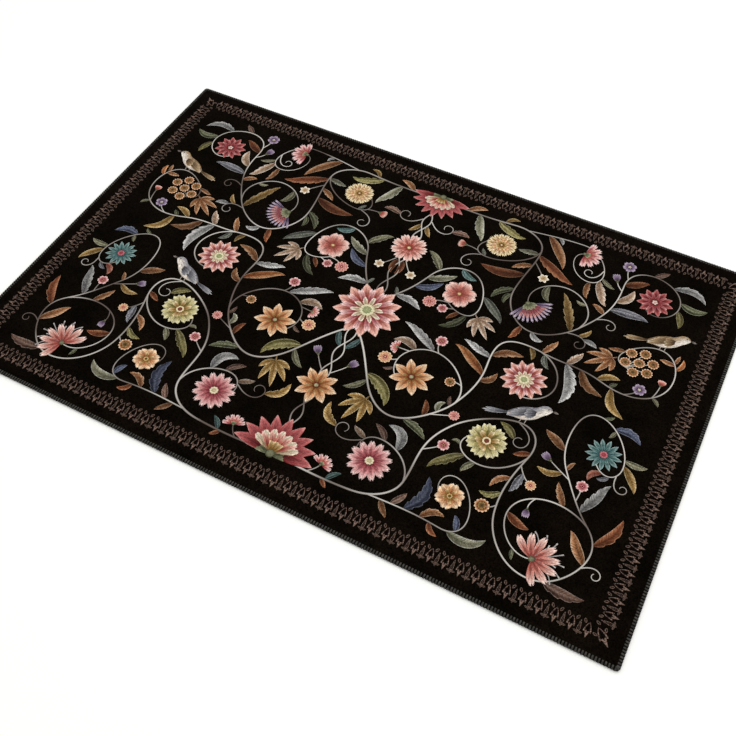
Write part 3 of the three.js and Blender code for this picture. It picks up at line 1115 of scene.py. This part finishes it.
def stem_tree():
    """Sweeps a flattened round section along every path and its mirror image, as wide as each point says.
    Its UV map is the run along the stem in millimetres, and the place across it."""
    tree, given = new_tree("laid_stems", {"Flatness": "Float", "Sides": "Int", "Finish": "Material"})
    half, along, cross = (add(tree, "GeometryNodeInputNamedAttribute", [name], data_type="FLOAT")
                          for name in ("half_width", "along", "cross"))
    mirrored = add(tree, "GeometryNodeTransform", {"Geometry": given["Geometry"], "Scale": (-1.0, 1.0, 1.0)})
    both = add(tree, "GeometryNodeJoinGeometry", [given["Geometry"]])
    tree.links.new(mirrored.outputs["Geometry"], both.inputs["Geometry"])
    line = add(tree, "GeometryNodeMeshToCurve", [both])
    upright = add(tree, "GeometryNodeSetCurveNormal", [line], mode="Z_UP")
    length = add(tree, "GeometryNodeSplineParameter").outputs["Length"]
    marked = add(tree, "GeometryNodeStoreNamedAttribute",
                 {"Geometry": upright, "Name": "along", "Value": length}, data_type="FLOAT", domain="POINT")
    sized = add(tree, "GeometryNodeSetCurveRadius", {"Curve": marked, "Radius": half})
    circle = add(tree, "GeometryNodeCurvePrimitiveCircle", {"Resolution": given["Sides"], "Radius": 1.0})
    squash = add(tree, "ShaderNodeCombineXYZ", (1.0, given["Flatness"], 1.0))
    section = add(tree, "GeometryNodeTransform", {"Geometry": circle, "Scale": squash})
    sideways = add(tree, "ShaderNodeSeparateXYZ", [add(tree, "GeometryNodeInputPosition")])
    profile = add(tree, "GeometryNodeStoreNamedAttribute",
                  {"Geometry": section, "Name": "cross", "Value": sideways},
                  data_type="FLOAT", domain="POINT")
    swept = add(tree, "GeometryNodeCurveToMesh",
                {"Curve": sized, "Profile Curve": profile, "Fill Caps": True,
                 "Scale": add(tree, "GeometryNodeInputRadius")})
    in_mm = add(tree, "ShaderNodeMath", (along, 1 / MM), operation="MULTIPLY")
    uv = add(tree, "ShaderNodeCombineXYZ", (in_mm, cross))
    mapped = add(tree, "GeometryNodeStoreNamedAttribute", {"Geometry": swept, "Name": "threads", "Value": uv},
                 data_type="FLOAT2", domain="CORNER")
    return end_tree(tree, mapped, given["Finish"])


def repeat_tree(name, spread):
    """Repeats one small mesh along every path, with its X along the path and its Y to the left, each
    copy a little uneven. It goes at an even pitch, or at the path's own points."""
    tree, given = new_tree(name, {
        "Repeat": "Object", "Pitch": "Float", "Unevenness": "Float", "Seed": "Int", "Finish": "Material"})
    line = add(tree, "GeometryNodeMeshToCurve", [given["Geometry"]])
    at_pitch = {"Length": given["Pitch"]} if spread == "LENGTH" else {}
    spots = add(tree, "GeometryNodeCurveToPoints", {"Curve": line, **at_pitch}, mode=spread)
    facing = add(tree, "FunctionNodeAlignRotationToVector", {"Vector": spots.outputs["Tangent"]},
                 axis="X", pivot_axis="Z")
    motif = add(tree, "GeometryNodeObjectInfo",
                {"Object": given["Repeat"], "As Instance": True}).outputs["Geometry"]
    least = add(tree, "ShaderNodeMath", (1.0, given["Unevenness"]), operation="SUBTRACT")
    size = add(tree, "FunctionNodeRandomValue", {"Min": least, "Max": 1.0, "Seed": given["Seed"]},
               data_type="FLOAT")
    width = add(tree, "ShaderNodeCombineXYZ", (size, 1.0, 1.0))
    set_out = add(tree, "GeometryNodeInstanceOnPoints",
                  {"Points": spots, "Instance": motif, "Rotation": facing, "Scale": width})
    return end_tree(tree, set_out, given["Finish"])


def grown(name, tree, paths, height, values, closed=False):
    """Runs a node tree on loose edges along the paths, with its named inputs set first, and keeps what it
    makes as a plain piece, without the mesh that it repeats. Each path is its points and half widths."""
    points, edges, halves = [], [], []
    for path, half in paths:
        first = len(points)
        points += [(x * MM, y * MM, height * MM) for x, y in path]
        halves += [h * MM for h in half]
        edges += [(first + i, first + i + 1) for i in range(len(path) - 1)]
        if closed:
            edges.append((len(points) - 1, first))
    lines = bpy.data.meshes.new(name + "_paths")
    lines.from_pydata(points, edges, [])
    widths = lines.attributes.new("half_width", "FLOAT", "POINT")
    widths.data.foreach_set("value", np.array(halves, np.float32))
    holder = placed(name + "_paths", lines)
    modifier = holder.modifiers.new("shape", "NODES")
    modifier.node_group = tree
    for item in tree.interface.items_tree:
        if item.name in values:
            modifier[item.identifier] = values[item.name]
    graph = bpy.context.evaluated_depsgraph_get()
    graph.update()
    mesh = bpy.data.meshes.new_from_object(
        holder.evaluated_get(graph), preserve_all_data_layers=True, depsgraph=graph)
    holder.modifiers.remove(modifier)
    for used in (holder, values.get("Repeat")):
        if used:
            bpy.data.objects.remove(used)
    mesh.name = name
    return placed(name, mesh)


# The cloth: one closed sheet, with its edge pressed thin where the yarn grips it

CORNER_RADIUS = 5.0
CORNER_STEPS = 8
SHARPEST_CORNER = 0.3


def outline(inset):
    """The mat's rounded outline, drawn in from its outer edge, counter-clockwise from above."""
    radius = max(CORNER_RADIUS - inset, SHARPEST_CORNER)
    reach_x, reach_y = HALF_LONG - inset - radius, HALF_SHORT - inset - radius
    quarter = np.linspace(0, 1, CORNER_STEPS + 1)
    return np.vstack([beside((side_x * reach_x, side_y * reach_y), (k + quarter) * math.pi / 2, radius)
                      for k, (side_x, side_y) in enumerate(((1, 1), (-1, 1), (-1, -1), (1, -1)))])


CLOTH_SECTION = ((5.2, 0.0), (4.7, 0.25), (4.5, 0.9), (1.4, 0.95), (0.6, 1.4), (0.6, 2.8), (1.4, 3.2),
                 (4.5, 3.25), (4.8, PILE_TOP - 0.25), (5.6, PILE_TOP))
FACES_DOWN = -0.3


def make_cloth(pile, back):
    """Carries the cloth's section round the mat and closes it above and below."""
    around = len(outline(0.0))
    points = np.vstack([np.column_stack([outline(inset), np.full(around, z)]) for inset, z in CLOTH_SECTION])
    mesh = new_mesh("pile_cloth", points, ring_faces(len(CLOTH_SECTION), around), [pile, back])
    for face in mesh.polygons:
        face.material_index = 1 if face.normal.z < FACES_DOWN else 0
    return placed("pile_cloth", mesh)


# The overlocked edge: one stitch is a flat loop of yarn that wraps over the edge and under it

STITCH_PITCH = 3.62
STITCH_HALF_WIDTH = 1.58
YARN_HALF_THICKNESS = 0.42
STITCH_LEAN = 0.9
STITCH_END = 0.55
# Inset and height of the yarn's middle line, from its inner end on top to its inner end below
STITCH_LINE = np.array([(4.9, 3.2), (4.3, 3.7), (3.1, 3.8), (1.7, 3.8), (0.9, 3.55), (0.5, 3.0), (0.43, 2.1),
                        (0.5, 1.2), (0.9, 0.72), (2.1, 0.46), (3.6, 0.46), (4.6, 0.6)])
STITCH_SIDES = 8
FLOOR_GAP = 0.02


def stitch_mesh():
    """One stitch, with X along the edge and Y inward, closed at both ends."""
    count = len(STITCH_LINE)
    inset, height = STITCH_LINE[:, :1], STITCH_LINE[:, 1:]
    ways = ways_along(STITCH_LINE)
    turns = np.arange(STITCH_SIDES) * 2 * math.pi / STITCH_SIDES
    width = np.ones((count, 1))
    width[[0, -1]] = STITCH_END
    out = YARN_HALF_THICKNESS * width * np.sin(turns)
    lean = STITCH_LEAN * (0.5 - np.arange(count)[:, None] / (count - 1))
    x = lean + STITCH_HALF_WIDTH * width * np.cos(turns)
    y = inset - ways[:, 1:] * out
    z = np.maximum(height + ways[:, :1] * out, FLOOR_GAP)
    run = np.append(0, np.cumsum(np.linalg.norm(np.diff(STITCH_LINE, axis=0), axis=1)))
    uvs = pairs(STITCH_HALF_WIDTH * np.cos(turns), run[:, None])
    mesh = new_mesh("one_stitch", np.dstack([x, y, z]).reshape(-1, 3), ring_faces(count, STITCH_SIDES),
                    uvs=uvs.reshape(-1, 2))
    mesh.flip_normals()
    return mesh


def make_edge(tree, yarn):
    """Sets stitches side by side all round the mat, at a pitch that comes out even."""
    path = outline(0.0)
    length = np.linalg.norm(np.roll(path, -1, 0) - path, axis=1).sum()
    pitch = length / round(length / STITCH_PITCH)
    stitch = bpy.data.objects.new("one_stitch", stitch_mesh())
    return grown("edge_stitches", tree, [tapered(path, 1.0, 1.0)], 0.0,
                 {"Repeat": stitch, "Pitch": pitch * MM, "Unevenness": 0.12, "Seed": 7, "Finish": yarn}, True)


# The border: a spire with a three-pointed foot, then a pointed drop with an eye, and two small loops
# over each spire, repeated along all four sides between plain black bands

BORDER_OUTER = 17.5
BORDER_DEPTH = 22.0
BORDER_PITCH = 18.2
BORDER_RIM = "755e53"
BORDER_FILL = "130d0a"
SPIRE_FILL = "42352e"
BORDER_EYE = "080605"
# Each upright shape as the heights over its foot and its half widths there
DROP = ((0.2, FINEST), (2.6, 0.8), (5.0, 1.5), (7.0, 2.0), (8.2, 2.6), (9.3, 4.3), (10.6, 4.5), (12.4, 4.1),
        (14.4, 3.1), (16.5, 1.7), (18.6, FINEST))
DROP_BARB = 3.0
# The drop is hollow from this step up, and solid below it
DROP_HOLLOW = 5
DROP_EYE = ((6.4, FINEST), (8.4, 0.8), (10.6, 1.1), (13.0, 0.9), (15.4, FINEST))
SPIRE = ((3.6, 1.0), (5.4, 1.6), (6.8, 1.95), (9.4, 1.7), (12.5, 1.25), (15.6, 0.65), (18.0, FINEST))
SPIRE_SLIT = ((4.8, 0.1), (6.6, 0.5), (8.6, 0.45), (11.0, 0.1))
SPIRE_TOE = ((0.0, 0.1), (1.4, 0.95), (3.0, 1.35), (4.4, 0.9))
SPIRE_FOOT = ((0.0, 0.6), (1.6, 1.05), (3.0, 1.1), (4.6, 0.1))
SLIP_COLUMNS = np.array([-1.0, -0.8, -0.54, 0.0, 0.54, 0.8, 1.0])
LOOP_LENGTH = 5.6
LOOP_WIDTH = 3.2
LOOP_STEPS = 15
LOOP_SHADE = 0.66
# How far the corner's drop is longer and wider than the others
CORNER_DROP = (1.25, 1.15)
CORNER_EYE = (1.25, 1.0)
CORNER_LOOP_AHEAD = 17.5
CORNER_LOOP_ASIDE = 6.5


def add_slip(motifs, slip, foot, turn, level, rim=BORDER_EYE, fill=BORDER_EYE, barb=0.0, hollow_from=1):
    """A small upright shape of the border. Its rim is drawn lighter than its fill, and where it is widest
    its two sides hang down by the barb."""
    heights, half = np.array(slip).T
    x = half[:, None] * SLIP_COLUMNS
    y = heights[:, None] - barb * (half / half.max())[:, None] ** 3 * SLIP_COLUMNS ** 2
    grid = np.tile(dye(rim), (*x.shape, 1))
    grid[hollow_from:-1, 2:5] = dye(fill)
    motifs.strip(beside(foot, turn, x, y), crown(SLIP_COLUMNS, half, 3.0, 0.03),
                 pairs(y - 0.8 * np.abs(x), x), grid, level, False)


def add_drop(motifs, foot, turn, drop=DROP, eye=DROP_EYE):
    add_slip(motifs, drop, foot, turn, 0, BORDER_RIM, BORDER_FILL, DROP_BARB, DROP_HOLLOW)
    add_slip(motifs, eye, foot, turn, 9)


def add_loop(motifs, middle, tilt):
    """A small open oval ring."""
    angles = np.linspace(0, 2 * math.pi, LOOP_STEPS)[:, None]
    shares = np.array([0.36, 0.5, 0.9, 1.0])
    places = beside(middle, tilt, LOOP_WIDTH / 2 * shares * np.cos(angles),
                    (LOOP_LENGTH / 2 - LOOP_WIDTH / 2 * (1 - shares)) * np.sin(angles))
    rises = np.tile((0.0, 0.08, 0.08, 0.0), (LOOP_STEPS, 1))
    motifs.strip(places, rises, pairs(angles * LOOP_LENGTH / 4, rises),
                 np.tile(dye(BORDER_RIM) * LOOP_SHADE, (*rises.shape, 1)), twin=False)


def border_unit(material):
    """One spire with its foot and loops, and half a pitch to its right one drop."""
    unit = Motifs()
    add_slip(unit, SPIRE, (0.0, 0.0), 0.0, 2, BORDER_RIM, SPIRE_FILL)
    add_slip(unit, SPIRE_TOE, (0.0, 0.2), 0.0, 4, BORDER_RIM, SPIRE_FILL)
    for side in (-1, 1):
        add_slip(unit, SPIRE_SLIT, (side * 0.85, 0.0), 0.0, 9)
        add_slip(unit, SPIRE_FOOT, (side * 0.4, 3.0), -side * 1.42, 5, BORDER_RIM, SPIRE_FILL)
        add_loop(unit, (side * 4.1, 18.7), side * 0.45)
    add_drop(unit, (BORDER_PITCH / 2, 0.0), 0.0)
    return unit.make("border_unit", material)


def side_path(start, end):
    """The places of the repeats along one side, spread evenly between two corners."""
    start, end = np.array(start), np.array(end)
    count = round(np.linalg.norm(end - start) / BORDER_PITCH)
    return tapered(np.array([start + (end - start) * (i + 0.25) / count for i in range(count)]), 1.0, 1.0)


def make_border(tree, material):
    """Repeats the unit along all four sides between the corners."""
    outer_x, outer_y = HALF_LONG - BORDER_OUTER, HALF_SHORT - BORDER_OUTER
    inner_x, inner_y = outer_x - BORDER_DEPTH, outer_y - BORDER_DEPTH
    sides = (((-inner_x, -outer_y), (inner_x, -outer_y)), ((outer_x, -inner_y), (outer_x, inner_y)),
             ((inner_x, outer_y), (-inner_x, outer_y)), ((-outer_x, inner_y), (-outer_x, -inner_y)))
    return grown("border_ornament", tree, [side_path(*side) for side in sides], 0.0,
                 {"Repeat": border_unit(material), "Pitch": 0.0, "Unevenness": 0.0, "Seed": 3,
                  "Finish": material})


def make_border_corners(material):
    """Sets a drop with two loops across each corner, pointing to the middle of the mat."""
    corners = Motifs()
    for side_x in (-1, 1):
        for side_y in (-1, 1):
            foot = (side_x * (HALF_LONG - BORDER_OUTER - 1.0), side_y * (HALF_SHORT - BORDER_OUTER - 1.0))
            inward = math.atan2(-side_y, -side_x)
            upright = inward - math.pi / 2
            add_drop(corners, foot, upright, np.array(DROP) * CORNER_DROP, np.array(DROP_EYE) * CORNER_EYE)
            for side in (-1, 1):
                middle = beside(foot, inward, CORNER_LOOP_AHEAD, side * CORNER_LOOP_ASIDE)
                add_loop(corners, middle, upright + side * 0.6)
    return corners.make("border_corners", material)


def main():
    make_camera()
    bpy.context.scene.view_settings.view_transform = "Standard"
    light_studio()

    cloth = make_cloth(short_black_pile(), woven_back())
    edge = make_edge(repeat_tree("set_at_a_pitch", "LENGTH"), spun_yarn())
    border_dye = dyed_threads("brown_border_dye", 1.3, 6.0, 0.85, glint=0.0)
    border = make_border(repeat_tree("set_at_points", "EVALUATED"), border_dye)
    corners = make_border_corners(border_dye)

    stems, petals, hearts, feathers, green, warm = draw_field()
    petal_dye = dyed_threads("petal_dye", 1.3, 8.0, 0.40)
    leaf_dye = dyed_threads("leaf_dye", 1.8, 6.0, 0.50)
    field = [grown("vine_stems", stem_tree(), stems, PILE_TOP - STEM_SINK,
                   {"Flatness": 0.28, "Sides": 8, "Finish": twisted_cord()}),
             petals.make("flower_petals", petal_dye),
             hearts.make("flower_hearts", dyed_threads("heart_dye", 1.2, 1.2, 0.3)),
             feathers.make("bird_feathers", petal_dye),
             green.make("green_leaves", leaf_dye), warm.make("warm_leaves", leaf_dye)]

    pieces = (cloth, edge, border, corners, *field)
    for piece in pieces:
        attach(piece, "root")
    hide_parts("mat_cloth")
    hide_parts("edge_yarn")


main()
